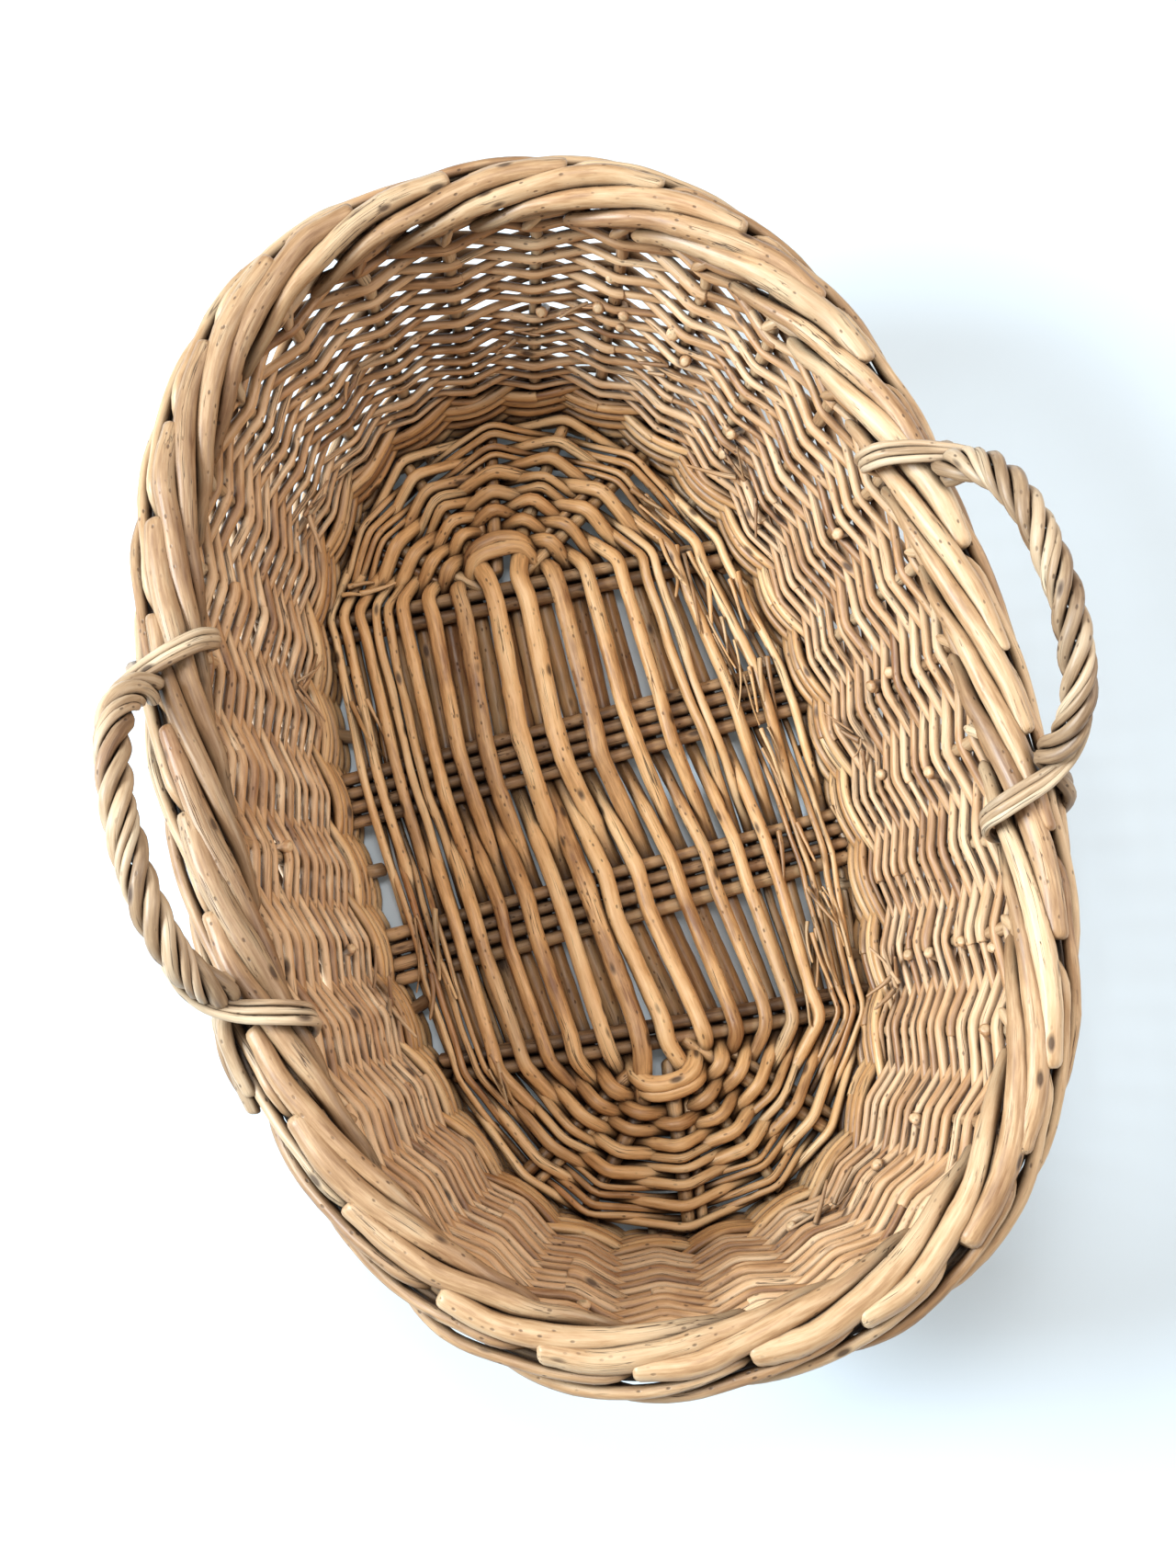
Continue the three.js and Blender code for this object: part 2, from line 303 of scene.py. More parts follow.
def rings_along(count, start, end):
    """A rod's rings, ends included: how wide, how far pushed out, how much cut face, and at which point."""
    rings = [(width, -push, cut, 0) for width, push, cut in reversed(ROD_ENDS[start])]
    rings += [(1.0, 0.0, 0.0, point) for point in range(count)]
    rings += [(width, push, cut, count - 1) for width, push, cut in ROD_ENDS[end]]
    widths, pushes, cuts, rows = np.array(rings).T
    return widths, pushes, cuts, rows.astype(int)


class Bundle:
    """Rods that make up one piece."""

    def __init__(self, rng):
        self.rng = rng
        self.points = []
        self.grain = []
        self.looks = []
        self.faces = []
        self.size = 0

    def rod(self, path, radius, sides=8, start="cut", end="tip", slant=0.25, grime_and_shade=0.0, tone=None):
        """Adds one rod. Radius and the grime with painted shade may be one number, or one for each point of
        the path.
        """
        rng = self.rng
        along = length_along(path)
        tangents, normals, binormals = frames_along(path)
        radius = radius * (1 + wander(rng, along, UNEVENNESS, 0.05)) * self.knuckles(along)
        grime_and_shade = np.broadcast_to(np.asarray(grime_and_shade, float), len(path))
        tone = rng.uniform(0, 1) if tone is None else tone
        warmth = rng.uniform(0, 1)

        widths, pushes, cuts, rows = rings_along(len(path), start, end)
        pushes = pushes * radius[rows]
        centres = path[rows] + tangents[rows] * pushes[:, None]
        turn = np.arange(sides) / sides * TAU
        lumps = rng.uniform(0, TAU, 2)
        section = 1 + OVALNESS * (np.cos(2 * turn + lumps[0]) + 0.5 * np.cos(3 * turn + lumps[1]))
        across = (radius[rows] * widths)[:, None] * section
        east = across * np.cos(turn)
        north = across * np.sin(turn)
        offsets = normals[rows][:, None, :] * east[..., None] + binormals[rows][:, None, :] * north[..., None]
        slants = self.slants(len(rows), start, end, slant)
        shift = slants[:, None] * across * np.cos(turn - rng.uniform(0, TAU))
        points = centres[:, None, :] + offsets + tangents[rows][:, None, :] * shift[..., None]

        place = rng.uniform(-1, 1, 3)
        grain = np.stack(np.broadcast_arrays(east, north, (along[rows] + pushes)[:, None]), axis=-1)
        looks = (tone, warmth, cuts[:, None], grime_and_shade[rows][:, None], across)
        looks = np.stack(np.broadcast_arrays(*looks)[:-1], axis=-1)
        self.join(points, grain + place, looks, (start == "cut", end == "cut"))

    def slants(self, count, start, end, slant):
        """How much each ring leans: only those of the two ends, and never at a thin tip."""
        slants = np.zeros(count)
        if start != "tip":
            slants[: len(ROD_ENDS[start]) + 1] = -self.rng.uniform(0.3, 1) * slant
        if end != "tip":
            slants[-len(ROD_ENDS[end]) - 1 :] = self.rng.uniform(0.3, 1) * slant
        return slants

    def knuckles(self, along):
        """The slight swellings at a rod's buds."""
        count = int(along[-1] / BUD_SPACING) + 1
        swelling = np.ones(len(along))
        for place in self.rng.uniform(0, along[-1], count):
            swelling = swelling + BUD_SWELLING * np.exp(-(((along - place) / BUD_LENGTH) ** 2))
        return swelling

    def join(self, points, grain, looks, cut_ends):
        """Joins rings of points into a closed tube, with a fan of triangles over each end."""
        rings, sides = points.shape[:2]
        base = self.size
        for values, store in ((points, self.points), (grain, self.grain), (looks, self.looks)):
            store.append(values.reshape(-1, values.shape[-1]))
        index = base + np.arange(rings * sides).reshape(rings, sides)
        beside = np.roll(index, -1, axis=1)
        quads = np.stack([index[:-1], beside[:-1], beside[1:], index[1:]], axis=-1).reshape(-1, 4)
        self.faces.extend(quads.tolist())
        self.size += rings * sides
        for ring, is_cut in zip((0, rings - 1), cut_ends):
            centre_look = looks[ring].mean(axis=0)
            if is_cut:
                centre_look[2] = CUT_CENTRE
            self.points.append(points[ring].mean(axis=0)[None])
            self.grain.append(grain[ring].mean(axis=0)[None])
            self.looks.append(centre_look[None])
            pair = np.stack([index[ring], beside[ring]], axis=-1)
            pair = pair if ring else pair[:, ::-1]
            self.faces.extend([a, b, self.size] for a, b in pair.tolist())
            self.size += 1

    def piece(self, name, slot, node, look=None):
        """Makes the bundle one mesh object, hides the CAD node it replaces, and gives it the willow of its
        slot, or of look when that is given.
        """
        mesh = bpy.data.meshes.new(name)
        mesh.from_pydata(np.concatenate(self.points), [], self.faces)
        stores = (("grain", "vector", self.grain), ("look", "color", self.looks))
        for store, kind, values in stores:
            data = mesh.attributes.new(store, f"FLOAT_{kind.upper()}", "POINT").data
            data.foreach_set(kind, np.concatenate(values).astype(np.float32).ravel())
        mesh.polygons.foreach_set("use_smooth", np.ones(len(mesh.polygons), bool))
        mesh.materials.append(MATERIALS[look or slot])
        obj = add_object(name, mesh)
        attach(obj, "root")
        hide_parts(node)


# Willow ----------


def srgb(red, green, blue):
    """A colour given in the usual 0 to 255 steps, as the shader's linear numbers."""
    steps = [value / 255 for value in (red, green, blue)]
    return tuple(v / 12.92 if v <= 0.04045 else ((v + 0.055) / 1.055) ** 2.4 for v in steps) + (1,)


# Painted shade: an ambient occlusion node darkens the colour in crevices within this depth, towards this
# colour.
CREVICE_DEPTH = 11 * MM
CREVICE_SHADE_COLOUR = (0.06, 0.035, 0.02, 1)
OPEN_COLOUR = (1, 1, 1, 1)
# How open a place is where the crevice shade is full, and where it ends.
CREVICES = (0.18, 0.78)
DEEP_CREVICES = (0.26, 0.86)
RUST_COLOUR = srgb(176, 96, 44)
GREYED_COLOUR = srgb(128, 112, 96)
MARK_COLOUR = srgb(58, 36, 22)
DIRT_AND_SHADE_COLOUR = srgb(64, 42, 26)
CUT_COLOURS = (srgb(205, 172, 128), srgb(226, 202, 164))
PITH_COLOUR = srgb(110, 78, 50)
GLOSS = 0.5
BUMP_DEPTH = 0.35 * MM
BUMP_STRENGTH = 0.8


class Willow:
    """Peeled, aged willow with grain along each rod, buds, specks, splits and grime, darkened by painted
    shade in its crevices and where rods pass under or behind others.
    """

    def __init__(self, name, pale, middle, deep, roughness, stain, crevices=CREVICES):
        self.material, self.surface = new_material(name)
        self.tree = self.material.node_tree
        self.grain = self.node("ShaderNodeAttribute", {}, attribute_name="grain").outputs["Vector"]
        look = self.node("ShaderNodeAttribute", {}, attribute_name="look")
        parts = self.node("ShaderNodeSeparateColor", {"Color": look.outputs["Color"]})
        self.tone, self.warmth, self.cut = parts.outputs
        self.grime_and_shade = look.outputs["Alpha"]
        self.streak = self.noise(0.09, 620, 5, 0.62)
        self.blotch = self.noise(0.3, 70, 3)
        self.patch = self.noise(0.5, 22, 2)
        self.dark = self.marks()

        colour = self.stained(self.peeled(srgb(*pale), srgb(*middle), srgb(*deep)), stain)
        colour = self.blend(self.times(self.dark, 0.85), colour, MARK_COLOUR)
        # Real grime and painted shade together: this darkens rods where they are dirty and also where they
        # dip under or pass behind others.
        dirt_and_shade = self.times(self.grime_and_shade, self.ramp(self.blotch, 0.15, 0.75))
        colour = self.blend(self.times(dirt_and_shade, 0.95, clamp=True), colour, DIRT_AND_SHADE_COLOUR)
        colour = self.blend(self.ramp(self.cut, 0.3, 0.8), colour, self.cut_face())
        colour = self.blend(1.0, colour, self.crevice_shade(crevices), "MULTIPLY")
        self.put(self.surface.inputs["Base Color"], colour)
        self.finish(roughness)

    def put(self, socket, value):
        if isinstance(value, bpy.types.NodeSocket):
            self.tree.links.new(value, socket)
        else:
            socket.default_value = value

    def node(self, kind, inputs, **settings):
        node = self.tree.nodes.new(kind)
        for key, value in settings.items():
            setattr(node, key, value)
        for key, value in inputs.items():
            self.put(node.inputs[key], value)
        return node

    def maths(self, operation, first, second=0.0, clamp=False):
        inputs = {0: first, 1: second}
        return self.node("ShaderNodeMath", inputs, operation=operation, use_clamp=clamp).outputs[0]

    def times(self, first, second, clamp=False):
        return self.maths("MULTIPLY", first, second, clamp)

    def plus(self, first, second, clamp=False):
        return self.maths("ADD", first, second, clamp)

    def ramp(self, value, low, high):
        """From 0 to 1 as the value goes from low to high."""
        inputs = {"Value": value, "From Min": low, "From Max": high}
        return self.node("ShaderNodeMapRange", inputs, clamp=True).outputs["Result"]

    def blend(self, share, first, second, kind="MIX"):
        inputs = {0: share, 6: first, 7: second}
        return self.node("ShaderNodeMix", inputs, data_type="RGBA", blend_type=kind).outputs[2]

    def stretched(self, along):
        """Grain coordinates with their length along the rod scaled."""
        node = self.node("ShaderNodeVectorMath", {0: self.grain, 1: (1, 1, along)}, operation="MULTIPLY")
        return node.outputs[0]

    def noise(self, along, scale, detail, roughness=0.55):
        inputs = {"Vector": self.stretched(along), "Scale": scale, "Detail": detail, "Roughness": roughness}
        return self.node("ShaderNodeTexNoise", inputs).outputs[0]

    def spots(self, along, scale):
        inputs = {"Vector": self.stretched(along), "Scale": scale}
        return self.node("ShaderNodeTexVoronoi", inputs, feature="F1").outputs["Distance"]

    def marks(self):
        """Splits along the rod, buds, and specks that come in patches."""
        split = self.maths("ABSOLUTE", self.maths("SUBTRACT", self.noise(0.02, 420, 2), 0.5))
        split = self.times(self.ramp(split, 0.014, 0.004), self.ramp(self.blotch, 0.53, 0.6))
        bud = self.ramp(self.spots(0.42, 70), 0.15, 0.07)
        speck = self.times(self.ramp(self.spots(0.55, 260), 0.2, 0.1), self.ramp(self.patch, 0.4, 0.52))
        return self.maths("MAXIMUM", bud, self.maths("MAXIMUM", split, self.times(speck, 0.8)))

    def peeled(self, pale, middle, deep):
        """The bare wood: each rod has its own tone, with blotches and fine streaks along it."""
        lightness = self.times(self.tone, 0.36)
        lightness = self.plus(lightness, self.times(self.ramp(self.blotch, 0.3, 0.68), 0.42))
        lightness = self.plus(lightness, self.times(self.ramp(self.streak, 0.3, 0.68), 0.3))
        colour = self.blend(self.ramp(lightness, 0.16, 0.52), deep, middle)
        return self.blend(self.ramp(lightness, 0.48, 0.88), colour, pale)

    def stained(self, colour, stain):
        """Rusty patches on the warmest rods, and grey ones on the coolest."""
        rusty = self.times(self.ramp(self.warmth, 0.6, 1.0), self.ramp(self.patch, 0.5, 0.72))
        colour = self.blend(self.times(rusty, 0.35 * stain), colour, RUST_COLOUR)
        greyed = self.times(self.ramp(self.warmth, 0.45, 0.0), self.ramp(self.patch, 0.48, 0.7))
        return self.blend(self.times(greyed, 0.5 * stain), colour, GREYED_COLOUR)

    def cut_face(self):
        """The pale wood of a cut end, with its pith in the middle."""
        face = self.blend(self.ramp(self.streak, 0.3, 0.7), *CUT_COLOURS)
        return self.blend(self.times(self.ramp(self.cut, 1.68, 1.8), 0.8), face, PITH_COLOUR)

    def crevice_shade(self, crevices):
        crevice = self.node("ShaderNodeAmbientOcclusion", {"Distance": CREVICE_DEPTH}, samples=6)
        return self.blend(self.ramp(crevice.outputs["AO"], *crevices), CREVICE_SHADE_COLOUR, OPEN_COLOUR)

    def finish(self, roughness):
        """Roughness and bump, which follow the same marks as the colour."""
        rough = self.plus(self.times(self.blotch, 0.25), roughness - 0.12)
        rough = self.plus(rough, self.times(self.dark, 0.2), clamp=True)
        self.put(self.surface.inputs["Roughness"], rough)
        height = self.plus(self.times(self.streak, 0.5), self.times(self.blotch, 0.6))
        height = self.maths("SUBTRACT", height, self.times(self.dark, 1.1))
        inputs = {"Height": height, "Distance": BUMP_DEPTH, "Strength": BUMP_STRENGTH}
        self.put(self.surface.inputs["Normal"], self.node("ShaderNodeBump", inputs).outputs[0])
        self.surface.inputs["Specular IOR Level"].default_value = GLOSS


# Each willow's pale, middle and deep colours, its roughness, how stained it is, and perhaps where its painted
# crevice shade is full and where it ends.
WILLOWS = {
    "base_willow": ((255, 214, 160), (226, 174, 116), (144, 96, 56), 0.42, 0.9, DEEP_CREVICES),
    "stick_willow": ((230, 184, 132), (188, 143, 98), (112, 79, 51), 0.55, 0.8),
    "wall_willow": ((238, 202, 160), (203, 157, 111), (134, 92, 60), 0.48, 0.6),
    "border_willow": ((232, 202, 162), (194, 155, 114), (134, 96, 63), 0.42, 0.6),
    "handle_willow": ((228, 206, 174), (190, 160, 126), (120, 92, 66), 0.46, 0.8),
}
MATERIALS = {name: Willow(name, *looks).material for name, looks in WILLOWS.items()}


# The base ----------

# The side rods are rings, one inside the next. Every second one is over the two front groups of sticks, a
# and b, and under the two back ones. The others are the other way round.
RINGS = 14
LAST_RING = 121 * MM
FIRST_AT_FRONT = 18 * MM
FIRST_AT_BACK = 26 * MM
RING_CROWDING = 0.23
LEFT_GAP = 9 * MM
MAT_GAP = 9.5 * MM
RING_RADIUS = (4.9 * MM, 2.7 * MM)
SPLIT_RINGS = (7, 10, 12)
CORNER = 5 * MM
BASE_STEP = 3.2 * MM
STICK_STEP = 8 * MM
# A rod counts as low this far below the sticks.
LOW_DEPTH = 9 * MM
# How far along the basket the round ends begin, and how soon a ring's new thickness is reached there.
ROUND_END = (135 * MM, 30 * MM)
# The same for the fan, where the middle rods get thinner by this share.
FAN_START = (150 * MM, 60 * MM)
FAN_THINNING = 0.35
# Where a rod bends beside a group of sticks, as shares of the group's half width.
WHOLE_PASS = (-0.7, 0.7)
# How far a ring swings out over an end stick and in under the next, as a share of the fan.
FAN_SWING = 0.02
# Rings that treat the three middle end sticks as one, at each end.
WIDE_CROSSING = {"front": (1, 2), "back": (0, 1)}

# The rods inside the rings: how far each leg is from the middle line at every group, in millimetres.
MIDDLE_ROD_RADIUS = 5.2 * MM
HAIRPIN_OFFSETS = {"a": 8.5, "b": 9.5, "c": 14.5, "d": 16.5}
STRAIGHT_OFFSETS = {"a": 4.5, "b": 4.5, "c": 5.6, "d": 6.5}
HAIRPIN_BEND = 154 * MM
ARCH = ((-6 * MM, 1.0, 0.15), (1 * MM, 0.72, 0.95), (3 * MM, 0.4, 1.1))
END_STICK_RADIUS = 4.6 * MM
# The thinner rod pushed in beside each end stick.
INSERT_RADIUS = 3.3 * MM
INSERT_GAP = 7.6 * MM
# How much further than in the frame the cross sticks reach at each end, into the wale.
STICK_BEYOND = 9 * MM

# How far the pattern's middle line lies towards +Y, by x, in millimetres.
MIDDLE_LINE = ((-150, 2), (-60, 9), (20, 19), (150, 11))

# The end sticks fan out to these angles from the basket's length, in degrees, from the +Y side to the -Y
# side. They start at these places: how far along the basket, and how far towards +Y.
FANS = {"front": (37, 18, -1.5, -18.5, -38), "back": (42, 27, 4, -14, -31)}
FAN_INNER = np.array(((150, 25), (160, 12), (163, 0), (160, -12), (150, -25))) * MM
END_STICK_NAMES = {0: "left", 2: "centre", 4: "right"}

STICK_HEIGHT = sum(corner.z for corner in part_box("cross_stick_a1")) / 2
STICK_COUNTS = {"a": 2, "b": 4, "c": 4, "d": 2}


def stick_line(node):
    """The two ends of a cross stick, from -Y to +Y, and its radius. Its +Y end is nearer the +X end."""
    low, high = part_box(node)
    radius = (high.z - low.z) / 2
    foot = np.array([low.x + radius, low.y, STICK_HEIGHT])
    head = np.array([high.x - radius, high.y, STICK_HEIGHT])
    return foot, head, radius


def group_facts(letter):
    """The middle x, the skew, the half width and the stick radius of a group of cross sticks."""
    lines = [stick_line(f"cross_stick_{letter}{i + 1}") for i in range(STICK_COUNTS[letter])]
    middles = [(foot[0] + head[0]) / 2 for foot, head, radius in lines]
    foot, head, radius = lines[0]
    slope = (head[0] - foot[0]) / (head[1] - foot[1])
    half = (max(middles) - min(middles)) / 2 + radius
    return np.mean(middles), slope, half, radius


GROUPS = {letter: group_facts(letter) for letter in STICK_COUNTS}
MAT_SIZES = sizes_at(STICK_HEIGHT) - MAT_GAP


def middle_y(x):
    return MM * np.interp(x / MM, *zip(*MIDDLE_LINE))


def side_point(letter, side, offset):
    """Where a rod at an offset from the middle line crosses a group of sticks."""
    x, slope = GROUPS[letter][:2]
    share = offset / LAST_RING
    narrowing = 1 - (1 - abs(x / MAT_SIZES[0]) ** OVAL_EXPONENT) ** (1 / OVAL_EXPONENT)
    width = MAT_SIZES[1] / LAST_RING
    y = side * offset * (1 - narrowing * share**2) * (1 + (width - 1) * share) + middle_y(x) * (1 - share**2)
    if side > 0 and letter in "bc":
        y -= LEFT_GAP * share**2
    return np.array([x + slope * y, y])


def fan_point(end, place, share):
    """A point on an end stick, from 0 at the innermost ring to 1 at the outermost."""
    sign = 1 if end == "front" else -1
    angle = math.radians(FANS[end][place])
    outer = np.array([sign * oval_power(math.cos(angle)), oval_power(math.sin(angle))]) * MAT_SIZES
    reach, beside = FAN_INNER[place]
    inner = np.array([sign * reach, beside + middle_y(sign * reach)])
    return inner + (outer - inner) * share


class Course:
    """The points of one base rod, gathered as it passes over and under."""

    def __init__(self, rng, radius, over_front):
        self.rng = rng
        self.radius = radius
        self.over_front = over_front
        self.points = []

    def level(self, letter):
        """1 where the rod is over a group of sticks, and -1 where it is under."""
        return 1 if (letter in "ab") == self.over_front else -1

    def add(self, flat, level, stick_radius=END_STICK_RADIUS):
        lift = level * (stick_radius + self.radius) * self.rng.uniform(0.9, 1.0)
        flat = flat + self.rng.uniform(-1, 1, 2) * MM
        self.points.append([*flat, STICK_HEIGHT + lift])

    def pass_group(self, letter, side, offset, heading, shares=WHOLE_PASS):
        """Goes over or under a group of sticks, towards +X or -X."""
        half, stick_radius = GROUPS[letter][2:]
        centre = side_point(letter, side, offset + self.rng.uniform(-0.8, 0.8) * MM)
        for share in shares:
            self.add(centre + [heading * share * half, 0], self.level(letter), stick_radius)

    def arch(self, end, offset):
        """Turns back over the middle of an end, from the +Y side to the -Y side."""
        sign = 1 if end == "front" else -1
        reach = sign * HAIRPIN_BEND
        steps = [(side, step) for side, steps in ((1, ARCH), (-1, ARCH[::-1])) for step in steps]
        for side, (further, share, level) in steps:
            flat = np.array([reach + sign * further, middle_y(reach) + side * share * offset])
            self.add(flat, level)


def ring_shares(number):
    """How far out a ring is: at the sides of the base, and round its front and back ends."""
    share = number / (RINGS - 1)
    crowded = share * (1 + RING_CROWDING * (1 - share))
    return crowded, max(number - 1, 0) / (RINGS - 2), share


def ring_offset(letter, number):
    """A ring's distance from the middle line where it crosses a group."""
    inner = FIRST_AT_FRONT + (FIRST_AT_BACK - FIRST_AT_FRONT) * "abcd".index(letter) / 3
    return inner + (LAST_RING - inner) * ring_shares(number)[0]


def ring_path(number, over_front, radius, rng):
    """A whole ring. It starts and ends under a group of sticks on the -Y side."""
    course = Course(rng, radius, over_front)
    loop = [(letter, -1) for letter in "dcba"]
    loop += [("front", place) for place in (4, 3, 2, 1, 0)]
    loop += [(letter, 1) for letter in "abcd"]
    loop += [("back", place) for place in (0, 1, 2, 3, 4)]
    begin = loop.index(("c" if over_front else "b", -1))
    loop = loop[begin:] + loop[:begin] + [loop[begin]]
    for step, (where, what) in enumerate(loop):
        if where in GROUPS:
            shares = (0.1, 0.8) if step == 0 else (-0.8, -0.1) if step == len(loop) - 1 else WHOLE_PASS
            course.pass_group(where, what, ring_offset(where, number), -what, shares)
            continue
        if number == 0 and where == "front":
            if what == 4:
                turned = Course(rng, radius, over_front)
                turned.arch("front", FIRST_AT_FRONT)
                course.points += turned.points[::-1]
            continue
        beside = course.level("a" if where == "front" else "d")
        counted = min(what, 1) + (what == 4) if number in WIDE_CROSSING[where] else what
        share = ring_shares(number)[1 if where == "front" else 2]
        level = -beside * (-1) ** counted
        course.add(fan_point(where, what, share + level * FAN_SWING), level)
    return kinked_path(course.points, BASE_STEP, CORNER)


def leg_points(course, side, place, end, offsets, last_shares=WHOLE_PASS):
    """One leg of a middle rod: from the fan at one end of the base, across the groups to the other end."""
    letters = "abcd" if end == "front" else "dcba"
    heading = -1 if end == "front" else 1
    course.points = []
    course.add(fan_point(end, place, 0.98), 0)
    course.add(fan_point(end, place, 0.1), -0.1)
    for letter in letters:
        shares = last_shares if letter == letters[-1] else WHOLE_PASS
        course.pass_group(letter, side, offsets[letter] * MM, heading, shares)
    return course.points


def middle_rods(rng):
    """The rod bent in two that turns back over the back end, and the two straight rods between its legs."""
    sides = ((1, 1), (-1, 3))
    bent = Course(rng, MIDDLE_ROD_RADIUS, True)
    legs = [leg_points(bent, side, place, "front", HAIRPIN_OFFSETS) for side, place in sides]
    bent.points = []
    bent.arch("back", HAIRPIN_OFFSETS["d"] * MM)
    paths = [legs[0] + bent.points + legs[1][::-1]]
    for side, place in sides:
        straight = Course(rng, MIDDLE_ROD_RADIUS, False)
        paths.append(leg_points(straight, side, place, "back", STRAIGHT_OFFSETS, (-0.7, 0.4)))
    return [kinked_path(path, BASE_STEP, CORNER) for path in paths]


def split_rods(bundle, path, radius, spread, grime_and_shade):
    """Two thin rods side by side in place of a thick one."""
    tangents = frames_along(path)[0]
    across = unit(np.stack([-tangents[:, 1], tangents[:, 0], 0 * tangents[:, 0]], axis=-1))
    along = length_along(path)
    for side in (-1, 1):
        swing = side * spread * radius + wander(bundle.rng, along, 0.8 * MM, 0.14)
        lift = wander(bundle.rng, along, 0.8 * MM, 0.1)
        shifted = path + across * swing[:, None]
        shifted[:, 2] += lift
        bundle.rod(shifted, radius * bundle.rng.uniform(0.58, 0.7), 8, grime_and_shade=grime_and_shade)


def share_past(values, begin, reach):
    """How far values are past a beginning, from 0 to 1."""
    return np.clip((values - begin) / reach, 0, 1)


def low_share(path):
    """How far below the sticks a path is, from 0 to 1."""
    return share_past(-path[:, 2], -STICK_HEIGHT, LOW_DEPTH)


def build_base():
    rng = np.random.default_rng(11)
    for number in range(RINGS):
        share = number / (RINGS - 1)
        middle_radius = (RING_RADIUS[0] + (RING_RADIUS[1] - RING_RADIUS[0]) * share) * rng.uniform(0.9, 1.08)
        path = ring_path(number, number % 2 == 1, middle_radius, rng)
        at_end = share_past(np.abs(path[:, 0]), *ROUND_END)
        radius = middle_radius * (1 + (0.2 * share - 0.1) * at_end) * np.linspace(1.08, 0.92, len(path))
        bundle = Bundle(rng)
        # Painted shade: each ring is darker where it dips under the sticks, and the outer rings a little
        # darker towards the wall.
        if number in SPLIT_RINGS:
            split_rods(bundle, path, radius, 0.75, 0.3 + 0.6 * low_share(path))
        else:
            bundle.rod(path, radius, 10, grime_and_shade=0.85 * low_share(path) + 0.2 * share)
        bundle.piece(f"base_ring_{number + 1:02d}", "base_willow", "base_weave")
    for name, path in zip(("hairpin", "middle_rod_left", "middle_rod_right"), middle_rods(rng)):
        fan_side = path[:, 0] if name == "hairpin" else -path[:, 0]
        bundle = Bundle(rng)
        radius = MIDDLE_ROD_RADIUS * (1 - FAN_THINNING * share_past(fan_side, *FAN_START))
        # Painted shade: the rod is darker where it dips under the sticks.
        bundle.rod(path, radius, 10, end="cut", grime_and_shade=0.8 * low_share(path))
        bundle.piece(f"base_{name}", "base_willow", "base_weave")
    build_sticks(rng)


def build_sticks(rng):
    for letter, count in STICK_COUNTS.items():
        for i in range(count):
            node = f"cross_stick_{letter}{i + 1}"
            foot, head, radius = stick_line(node)
            beyond = unit(head - foot) * STICK_BEYOND
            bundle = Bundle(rng)
            middle = (foot + head) / 2 + [rng.uniform(-1, 1) * MM, 0, 0]
            path = smooth_path([foot - beyond, middle, head + beyond], STICK_STEP)
            taper = np.linspace(1.0, 0.86, len(path))
            if i % 2:
                taper = taper[::-1]
            bundle.rod(path, radius * taper, 9, end="cut", slant=0.9, grime_and_shade=0.3)
            bundle.piece(node, "stick_willow", node)
    for end in FANS:
        for place, part in END_STICK_NAMES.items():
            node = f"end_stick_{end}_{part}"
            bundle = Bundle(rng)
            first = fan_point(end, place, -0.25)
            last = fan_point(end, place, 1.02)
            direction = unit(last - first)
            beside = np.array([-direction[1], direction[0]])
            path = np.array([[*(first + (last - first) * t), STICK_HEIGHT] for t in np.linspace(0, 1, 12)])
            taper = np.linspace(1.05, 0.85, len(path))
            bundle.rod(path, END_STICK_RADIUS * taper, 9, end="cut", slant=0.9, grime_and_shade=0.1)
            inserted = path[3:] + np.append(beside * INSERT_GAP, -0.5 * MM)
            bundle.rod(inserted, INSERT_RADIUS, 8, start="tip", end="cut", grime_and_shade=0.1)
            bundle.piece(node, "stick_willow", node, look="base_willow")


# The wall ----------

STAKE_RADIUS = 3.6 * MM
WALL_START = FOOT_TOP + 2 * MM
WALL_FINISH = WALL_TOP + 1 * MM
ROW_PITCH_LOW = 4.5 * MM
ROW_PITCH_HIGH = 6.3 * MM
WEAVER_THICKNESS = 0.455
WEAVER_SAMPLES = (-0.5, -0.32, -0.18, -0.1, -0.04, 0.04, 0.1, 0.18, 0.32)
WEAVER_BEND = 0.07
# How closely a weaver holds to the stakes.
WEAVER_HUG = 0.9
SWAY_WAVES = 6
WALL_HOLES = 34
PEGS = 26
PEG_RADIUS = 2.9 * MM
PEG_REACH = (5 * MM, 8 * MM)
PEG_HEIGHTS = (58 * MM, 158 * MM)
# Most pegs are among these stakes.
PEG_STAKES = (18, 31)
PEG_SHARE_THERE = 0.65
WALE_ROD_RADIUS = 2.9 * MM
WALE_ROUND_HEIGHTS = (5.2 * MM, 12.6 * MM, 21 * MM, 28.6 * MM, 34 * MM)
WALE_LIFT = 2.6 * MM
# The low rounds stay out of the base: how high those are, and how far inward they go.
WALE_BELOW_MAT = 15 * MM
WALE_INWARD = 0.75
WALE_SEAM = 9
RIM_WALE_HEIGHT = WALL_TOP + 5 * MM


def row_heights():
    heights = [WALL_START]
    while heights[-1] < WALL_FINISH:
        share = (heights[-1] - WALL_START) / (WALL_FINISH - WALL_START)
        heights.append(heights[-1] + ROW_PITCH_LOW + (ROW_PITCH_HIGH - ROW_PITCH_LOW) * share)
    return heights[:-1]


